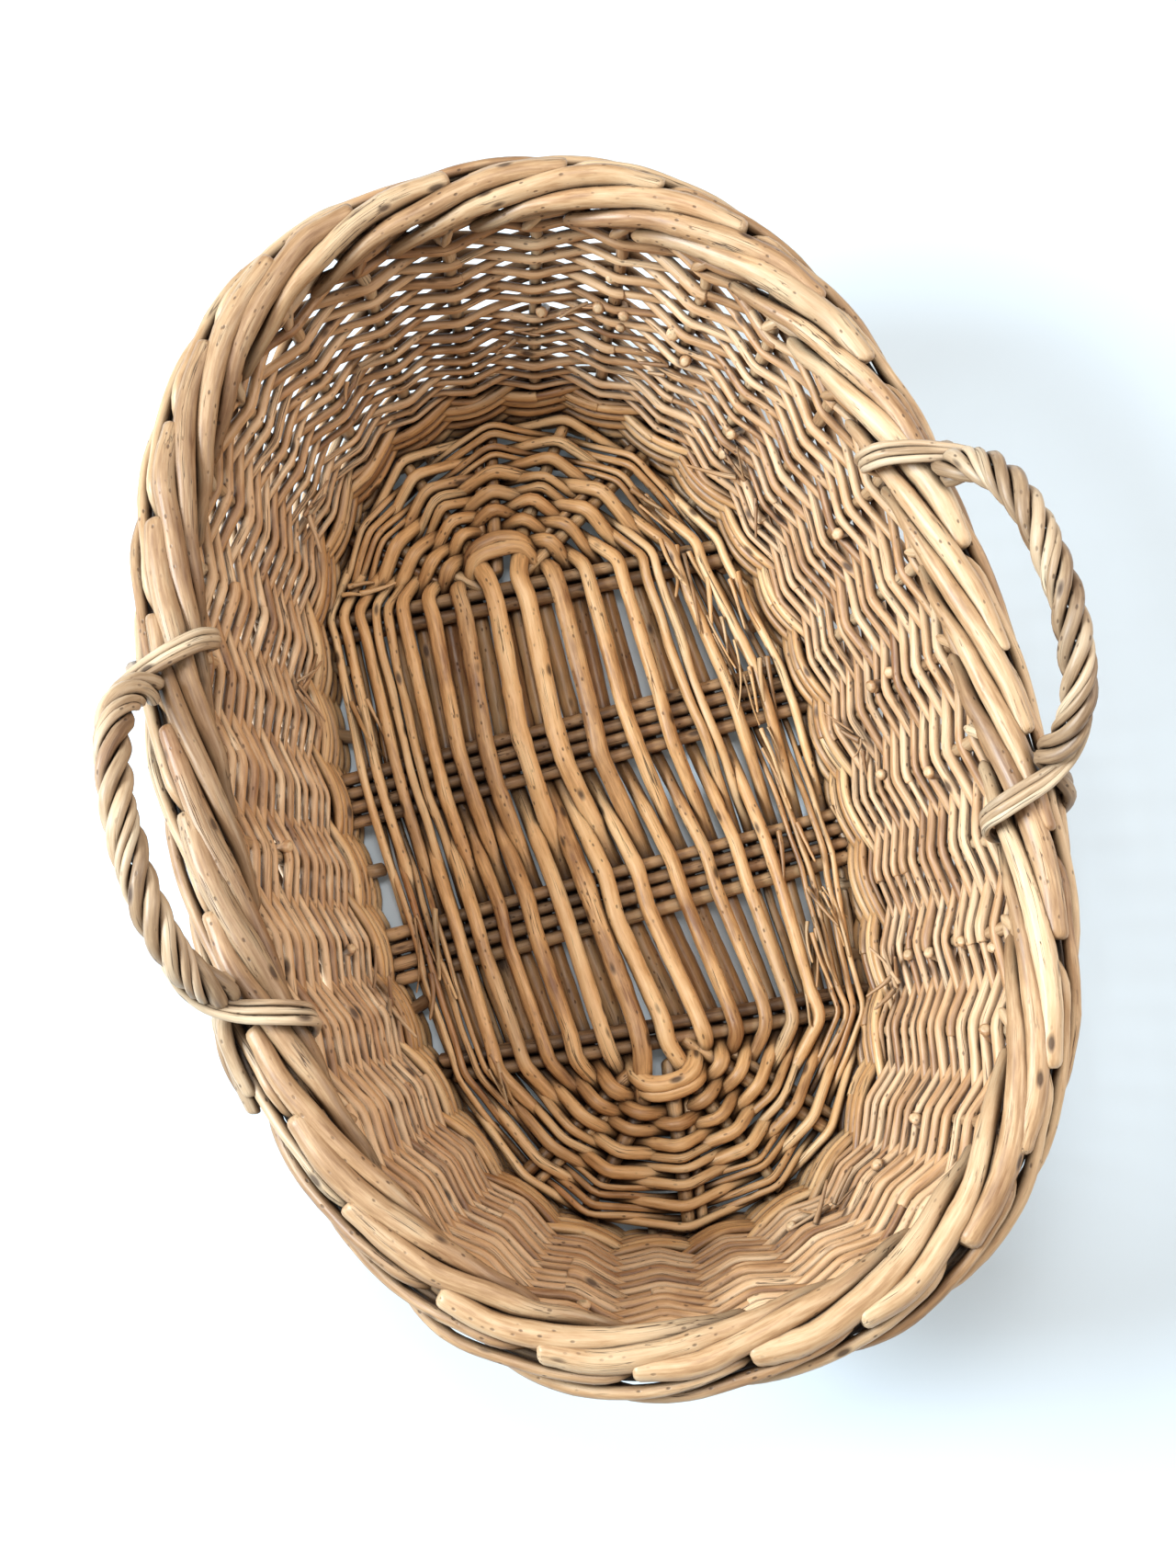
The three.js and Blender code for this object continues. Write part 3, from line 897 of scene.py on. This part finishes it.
class Sway:
    """How far the wall's rows are pushed up or down at each place, so that neighbours move together."""

    def __init__(self, rng):
        self.waves = [
            (rng.integers(2, 14), rng.uniform(0, TAU), rng.uniform(0.4, 0.9) * MM)
            for i in range(SWAY_WAVES)
        ]
        self.holes = [
            (rng.uniform(0, STAKES), rng.uniform(0.06, 0.16), rng.uniform(1.5, 3.5) * MM)
            for i in range(WALL_HOLES)
        ]

    def lift(self, stakes, height):
        share = (height - WALL_START) / (WALL_FINISH - WALL_START)
        total = 0 * stakes
        for count, phase, size in self.waves:
            total = total + size * np.sin(TAU * count * stakes / STAKES + phase + 3 * share)
        total = total * np.sin(math.pi * np.clip(share, 0.04, 0.97)) ** 0.5
        for place, hole_height, size in self.holes:
            apart = (stakes - place + STAKES / 2) % STAKES - STAKES / 2
            above = (height - hole_height) / (8 * MM)
            push = np.tanh(4 * above) * np.exp(-(above**2))
            total = total + size * push * np.exp(-((apart / 0.4) ** 2))
        return total


def weaver_side(steps):
    """How far to one side or the other a weaver is: straight runs that bend at each stake."""
    nearest = np.round(steps)
    away = np.abs(steps - nearest)
    fall = (np.hypot(away, WEAVER_BEND) - WEAVER_BEND) / (math.hypot(0.5, WEAVER_BEND) - WEAVER_BEND)
    return (1 - 2 * (nearest % 2)) * (1 - fall)


def weaver_path(height, radius, first, count, sway, rng):
    """A weaver that passes inside its first stake, outside the next, and so on."""
    whole = np.arange(0, int(count) + 1)
    steps = (whole[:, None] + np.array(WEAVER_SAMPLES)).ravel()
    steps = steps[(steps > -0.12) & (steps < count)]
    stakes = first + steps
    reach = WEAVER_HUG * (STAKE_RADIUS + radius)
    out = -weaver_side(steps) * reach
    lift = sway.lift(stakes, height) + wander(rng, stakes * SPACING, 0.35 * MM, 0.25)
    return on_wall(stakes, out, height + lift), out


def build_wall():
    rng = np.random.default_rng(23)
    sway = Sway(rng)
    heights = row_heights()
    for row, height in enumerate(heights):
        pitch = heights[row + 1] - height if row + 1 < len(heights) else ROW_PITCH_HIGH
        bundle = Bundle(rng)
        first = int(rng.integers(0, STAKES // 2)) * 2 + row % 2
        cuts = [first, first + 2 * int(rng.integers(7, 10)), first + STAKES]
        for begin, finish in zip(cuts, cuts[1:]):
            radius = pitch * WEAVER_THICKNESS * rng.uniform(0.84, 1.14)
            count = finish - begin + rng.choice([0.4, 0.9, 1.2])
            path, out = weaver_path(height, radius, begin, count, sway, rng)
            taper = np.linspace(1.15, 0.82, len(path))
            # Painted shade: a weaver is darker where it passes behind a stake and low down inside the wall.
            outside = np.clip(out / (STAKE_RADIUS + radius), 0, 1)
            inside_low = np.clip(1 - height / (60 * MM), 0, 1)
            bundle.rod(path, radius * taper, 8, grime_and_shade=0.1 + 0.3 * outside + 0.2 * inside_low)
        bundle.piece(f"wall_weaver_{row + 1:02d}", "wall_willow", "wall_weave")


def build_pegs():
    """The butts of rods that were pushed in beside the stakes and left standing out inside."""
    rng = np.random.default_rng(29)
    bundle = Bundle(rng)
    for number in range(PEGS):
        there = number < PEG_SHARE_THERE * PEGS
        stakes = rng.integers(*PEG_STAKES) if there else rng.integers(0, STAKES)
        stakes = stakes + rng.choice([-1, 1]) * rng.uniform(0.1, 0.16)
        height = rng.uniform(*PEG_HEIGHTS)
        reach = rng.uniform(*PEG_REACH)
        outs = np.linspace(2 * MM, -reach, 6)
        drift = np.linspace(0, rng.uniform(-0.05, 0.05), 6)
        path = on_wall(stakes + drift, outs, height - rng.uniform(0.5, 1.1) * outs)
        bundle.rod(path, PEG_RADIUS * rng.uniform(0.85, 1.15), 10, start="tip", end="peg", grime_and_shade=0.2)
    bundle.piece("wall_pegs", "wall_willow", "wall_weave")


def wale_round(bundle, height, seam, grime_and_shade):
    """Three rods, each outside two stakes and inside the next. They start in three spaces in a row."""
    reach = STAKE_RADIUS + WALE_ROD_RADIUS
    for phase in range(3):
        steps = np.arange(phase, STAKES + (phase + 1) % 3 + 0.3, 1 / 8)
        turn = TAU * (steps - phase) / 3
        out = reach * np.minimum(0.33 - 1.33 * np.cos(turn), 1.05)
        if height < WALE_BELOW_MAT:
            out = np.maximum(out, -WALE_INWARD * reach)
        lift = -WALE_LIFT * np.sin(turn) + wander(bundle.rng, steps * SPACING, 0.3 * MM, 0.4)
        path = on_wall(steps + seam, out, height + lift)
        radius = WALE_ROD_RADIUS * np.linspace(1.1, 0.92, len(path))
        bundle.rod(path, radius, 9, grime_and_shade=grime_and_shade)


def build_wales():
    """Bands of stout rods at the foot and just under the border."""
    rng = np.random.default_rng(31)
    for round_number, height in enumerate(WALE_ROUND_HEIGHTS):
        bundle = Bundle(rng)
        wale_round(bundle, height, WALE_SEAM + 5 * round_number, 0.3)
        bundle.piece(f"base_wale_round_{round_number + 1}", "base_willow", "base_wale")
    bundle = Bundle(rng)
    wale_round(bundle, RIM_WALE_HEIGHT, WALE_SEAM, 0.5)
    bundle.piece("rim_wale", "wall_willow", "rod_border")


# Loose fibres ----------

# On the base: x and y, the way they point in degrees, how many, and how long. All lengths in millimetres.
BASE_FIBRES = (
    (128, -90, 187, 4, 70), (112, -102, 172, 4, 55), (78, -98, 190, 5, 60), (56, -108, 178, 4, 45),
    (10, -104, 184, 3, 55), (-38, -112, 176, 3, 40), (-82, -106, 192, 6, 42), (-104, -96, 168, 5, 38),
    (156, 98, 262, 3, 20), (96, 108, 184, 3, 60), (-28, 106, 178, 3, 50), (-62, 108, 186, 4, 30),
    (-120, 92, 188, 3, 36), (172, -74, 205, 3, 34),
)
# On the inside of the wall: stake spacings on, height, how many, and how long.
WALL_FIBRES = (
    (30.2, 112, 5, 20), (29.1, 92, 5, 24), (31.3, 84, 4, 16), (27.4, 66, 4, 28), (1.6, 104, 4, 22),
    (3.2, 70, 4, 24), (5.6, 58, 5, 30), (9.8, 50, 4, 26), (17.4, 74, 5, 22), (20.5, 52, 6, 26),
    (23.6, 62, 5, 26),
)
FIBRE_RADIUS = (0.7 * MM, 1.9 * MM)
FIBRE_HEIGHT = STICK_HEIGHT + 9 * MM
FIBRE_SCATTER = np.array((6, 5, 1.2)) * MM


def add_fibre(bundle, start, heading, length):
    """One thin curved fibre from a point, along a rough direction."""
    rng = bundle.rng
    bend = rng.normal(0, 0.05, 3)
    points = [start]
    for step in range(5):
        heading = unit(heading + bend + rng.normal(0, 0.03, 3))
        points.append(points[-1] + heading * length / 5)
    path = smooth_path(points, 3 * MM)
    radius = rng.uniform(*FIBRE_RADIUS) * np.linspace(1, 0.5, len(path))
    bundle.rod(path, radius, 6, grime_and_shade=rng.uniform(0.2, 0.9))


def build_fibres():
    rng = np.random.default_rng(59)
    bundle = Bundle(rng)
    for x, y, degrees, count, length in BASE_FIBRES:
        for i in range(count):
            turn = math.radians(degrees) + rng.normal(0, 0.13)
            start = np.array([x * MM, y * MM, FIBRE_HEIGHT]) + rng.normal(0, 1, 3) * FIBRE_SCATTER
            heading = np.array([math.cos(turn), math.sin(turn), rng.uniform(-0.08, 0.12)])
            add_fibre(bundle, start, heading, length * MM * rng.uniform(0.4, 1))
    bundle.piece("base_loose_fibres", "base_willow", "base_weave")
    bundle = Bundle(rng)
    for stakes, height, count, length in WALL_FIBRES:
        for i in range(count):
            here = stakes + rng.normal(0, 0.12)
            up = height * MM + rng.normal(0, 3) * MM
            start = on_wall(here, -6 * MM, up)
            there = here + rng.choice([-0.5, 0.5])
            beyond = on_wall(there, -rng.uniform(8, 20) * MM, up + rng.normal(0, 8) * MM)
            add_fibre(bundle, start, unit(beyond - start), length * MM * rng.uniform(0.4, 1))
    bundle.piece("wall_loose_fibres", "wall_willow", "wall_weave")


# The border ----------

# Outward and height are in millimetres here, and heights in the border are from its top.
# Thin rods hidden inside the border, which the others bend round: outward and height.
CORE = ((0.5, -22), (8.5, -19.5), (4, -14.5))
CORE_RADIUS = 3.3 * MM

# A stake's foot in the base and its way up the wall: spacings on from the stake, outward and true height.
FOOT = ((0, -13, 8.5), (0, -8, 10), (0, -3.5, 15.5), (0, -1, 24), (0, 0, 36))
WALL_HEIGHTS = (80, 125)
# A stake's top past the wall: spacings on from the stake, outward and height.
TAIL = (
    (0.03, 0, -37), (0.2, 6, -29.5), (0.5, 13.5, -24.5), (1, 16.8, -20.5), (1.6, 14.6, -15),
    (2.1, 11.2, -10.5), (2.5, 8.8, -9), (2.66, 6, -13), (2.78, 1, -19.5), (2.92, -5, -26),
    (3.05, -9, -32),
)
TAIL_JITTER = (0.04, 0.9, 0.9)
# A border rod from its cut end: spacings on, outward, height and radius.
BORDER_ROD = (
    (0, 5.6, -6, 5.2), (0.45, 4, -5.2, 5.6), (0.95, -0.5, -5.4, 5.6), (1.45, -5.4, -6.8, 5.2),
    (1.95, -9.2, -9.8, 4.6), (2.35, -11.2, -15, 4), (2.65, -11, -22, 3.4), (2.85, -9, -28, 3),
)
BORDER_ROD_START = 0.85
BORDER_STEP = 5 * MM
SHADED_SIDE = math.radians(65)


def side_shade_at(stakes):
    """How much painted shade darkens and browns the border, from 0 to 1: most at the front and on the +Y
    side.
    """
    return 0.5 + 0.5 * math.cos(TAU * stakes / STAKES - SHADED_SIDE)


def build_stakes():
    rng = np.random.default_rng(41)
    for number in range(STAKES):
        node = f"side_stake_{number + 1:02d}"
        bundle = Bundle(rng)
        wobble = rng.uniform(-0.025, 0.025, 4)
        wall = [(swing, 0, height) for swing, height in zip(wobble, WALL_HEIGHTS)]
        tail = np.array(TAIL) + rng.uniform(-1, 1, (len(TAIL), 3)) * TAIL_JITTER + [0, 0, RIM_TOP / MM]
        rows = np.concatenate([FOOT, wall, tail])
        points = on_wall(number + rows[:, 0], rows[:, 1] * MM, rows[:, 2] * MM)
        path = smooth_path(points, BORDER_STEP)
        along = length_along(path)
        shape = np.interp(along / along[-1], [0, 0.5, 1], [1.04, 1.0, 0.78])
        radius = STAKE_RADIUS * shape * rng.uniform(0.94, 1.06)
        # The stake's top past the wall gets more painted shade on the shaded side of the border.
        side_shade = side_shade_at(number + 1)
        grime_and_shade = np.interp(along / along[-1], [0, 0.45, 0.55, 1], [0.4, 0.35, 0.4 * side_shade, 0.5 * side_shade])
        bundle.rod(path, radius, 9, grime_and_shade=grime_and_shade)
        bundle.piece(node, "border_willow", node)


def build_core():
    rng = np.random.default_rng(47)
    bundle = Bundle(rng)
    for row, (out, height) in enumerate(CORE):
        steps = np.arange(0, STAKES + 0.6, 1 / 5) + 9 * row
        swing = wander(rng, steps * SPACING, 0.8 * MM, 0.2)
        path = on_wall(steps, out * MM + swing, RIM_TOP + height * MM - swing)
        # The hidden core rods are painted dark all over, as shade inside the border.
        bundle.rod(path, CORE_RADIUS, 8, grime_and_shade=0.9)
    bundle.piece("border_core", "border_willow", "rod_border")


def build_border():
    rng = np.random.default_rng(53)
    for number in range(STAKES):
        bundle = Bundle(rng)
        rows = np.array(BORDER_ROD)
        jitter = rng.uniform(-1, 1, (len(rows), 2)) * 0.8
        start = number + BORDER_ROD_START + rng.uniform(-0.12, 0.12)
        out, height = (rows[:, 1:3] + jitter).T * MM
        points = on_wall(start + rows[:, 0], out, RIM_TOP + height)
        path = smooth_path(points, BORDER_STEP)
        along = length_along(path)
        knots = length_along(points)
        radius = np.interp(along / along[-1], knots / knots[-1], rows[:, 3]) * MM * rng.uniform(0.96, 1.14)
        # Rods on the shaded side of the border get a darker tone and more painted shade.
        side_shade = side_shade_at(number + 1.5)
        tone = rng.uniform(0, 1) * (1 - 0.5 * side_shade)
        # Painted shade on the end of each rod, where it tucks down under the border.
        tucked_shade = np.interp(along / along[-1], [0, 0.6, 0.95], [0, 0, 0.5])
        bundle.rod(path, radius, 12, start="blunt", slant=0.3, grime_and_shade=0.5 * side_shade + tucked_shade, tone=tone)
        bundle.piece(f"border_rod_{number + 1:02d}", "border_willow", "rod_border")


# The handles ----------

ROPE_RADIUS = 9 * MM
ROPE_LEAD = 61 * MM
STRAND_STEP = 3.5 * MM
STRAND_REACH = 5.3 * MM
STRAND_RADIUS = 3.4 * MM
THIN_STRAND = 0.62
STRANDS = 4
SPLIT_STRAND = 2
HANDLE_ROUNDNESS = 0.9
FOOT_OUT = 6 * MM
FOOT_HEIGHT = RIM_TOP + 3 * MM
LASHING_ROD_RADIUS = 2.0 * MM
LASHING_SPREAD = 3.5

# Each lashing rod, from inside the rope over the border and into the wall, at the +X foot of a handle:
# x, outward and height above the rim's top, in millimetres.
LASHING = (
    (52, 28, 26), (61, 26, 18), (70, 20, 11), (79, 9, 7), (87, -4, 6.5), (94, -15, 3), (98, -20.5, -6),
    (100, -19, -18), (101, -12, -30), (100, -3, -38),
)
LASHING_FAN = (0.2, 0.4, 0.7, 1, 1.2, 1.25, 1.1, 0.8, 0.5, 0.3)
# The rope's own strands past its foot: tucked down the outside of the border, or lying along it.
TUCKED_FOOT = ((75, 15, -1), (78, 20, -11), (82, 19.5, -25), (87, 13, -40), (92, 9, -56))
LYING_FOOT = ((75, 15, -1), (82, 19.5, -8), (94, 21.5, -15), (108, 21.5, -21), (122, 20.5, -27))
STRAND_FOOT_SPREAD = (2, 3.5, 4, 4.5, 5)


def bow_path(side):
    """The middle of a handle's rope, from its +X foot to its -X foot."""
    half_span, apex_out, apex_height = np.array(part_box("rope_handle_left")[1]) - ROPE_RADIUS
    turn = np.linspace(0.06, math.pi - 0.06, 61)
    rise = np.sin(turn) ** HANDLE_ROUNDNESS
    foot_y = RIM_SIZES[1] + FOOT_OUT
    x = half_span * np.sign(np.cos(turn)) * np.abs(np.cos(turn)) ** HANDLE_ROUNDNESS
    y = side * (foot_y + (apex_out - foot_y) * rise)
    z = FOOT_HEIGHT + (apex_height - FOOT_HEIGHT) * rise
    return smooth_path(np.stack([x, y, z], axis=-1), 3 * MM)


def foot_points(rows, side, end):
    """Points beside a handle's foot, from rows of x, outward and height above the rim."""
    rows = np.asarray(rows, float) * MM
    angle = angle_at_x(end * rows[:, 0], side)
    return on_oval(angle, rows[:, 1], RIM_TOP + rows[:, 2])


def strand_foot(side, end, turn, rng):
    """One strand's way past the border. Only those at the left handle's back foot lie along it."""
    lies = side > 0 and end < 0
    rows = np.array(LYING_FOOT if lies else TUCKED_FOOT, float)
    spread = np.array(STRAND_FOOT_SPREAD)
    rows[:, 0] += spread * math.cos(turn) * 1.3
    rows[:, 1] += spread * 0.4 * math.sin(turn)
    rows[:, 2] -= spread * (1.1 if lies else 0) * math.sin(turn)
    kept = rng.uniform(0, 1)
    rows[-1] = rows[-2] + (rows[-1] - rows[-2]) * (0.2 + 0.8 * kept)
    if lies and kept < 0.4:
        rows = rows[:-1]
    return foot_points(rows + rng.uniform(-1, 1, rows.shape), side, end)


def build_handle(name, side):
    rng = np.random.default_rng(67 + side)
    bow = bow_path(side)
    normals, binormals = frames_along(bow)[1:]
    along = length_along(bow)
    bundle = Bundle(rng)
    for strand in range(STRANDS):
        split = ((-0.32, THIN_STRAND), (0.36, THIN_STRAND))
        for lead, share in split if strand == SPLIT_STRAND else ((0.0, 1.0),):
            swelling = 1 + wander(rng, along, 0.05, 0.09)
            radius = STRAND_RADIUS * share * rng.uniform(0.92, 1.06)
            spin = TAU * strand / STRANDS + lead + TAU * along / ROPE_LEAD
            reach = STRAND_REACH * swelling + (STRAND_RADIUS - radius) * 0.6
            rope = bow + normals * (reach * np.cos(spin))[:, None]
            rope = rope + binormals * (reach * np.sin(spin))[:, None]
            first = strand_foot(side, 1, spin[0], rng)
            last = strand_foot(side, -1, spin[-1], rng)
            path = smooth_path(np.concatenate([first[::-1], rope, last]), STRAND_STEP)
            bundle.rod(path, radius, 9, start="blunt", end="blunt", grime_and_shade=rng.uniform(0, 0.4), slant=0.4)
    bundle.piece(name, "handle_willow", name)


def build_lashing(name, side, end):
    rng = np.random.default_rng(79 + 2 * side + end)
    bundle = Bundle(rng)
    for place in (-1, 0, 1):
        rows = np.array(LASHING, float)
        rows[:, 0] += (place * LASHING_SPREAD + rng.uniform(-0.5, 0.5)) * np.array(LASHING_FAN)
        rows[:, 2] += rng.uniform(-0.5, 1.2)
        path = smooth_path(foot_points(rows, side, end), STRAND_STEP)
        bundle.rod(path, LASHING_ROD_RADIUS * rng.uniform(0.85, 1.2), 8, grime_and_shade=0.15)
    bundle.piece(name, "handle_willow", name)


# Assembly ----------

make_camera()
make_stage()

build_base()
build_wales()
build_wall()
build_pegs()
build_fibres()
build_stakes()
build_core()
build_border()
for side_name, side_sign in (("left", 1), ("right", -1)):
    build_handle(f"rope_handle_{side_name}", side_sign)
    for end_name, end_sign in (("front", 1), ("back", -1)):
        build_lashing(f"lashing_{side_name}_{end_name}", side_sign, end_sign)
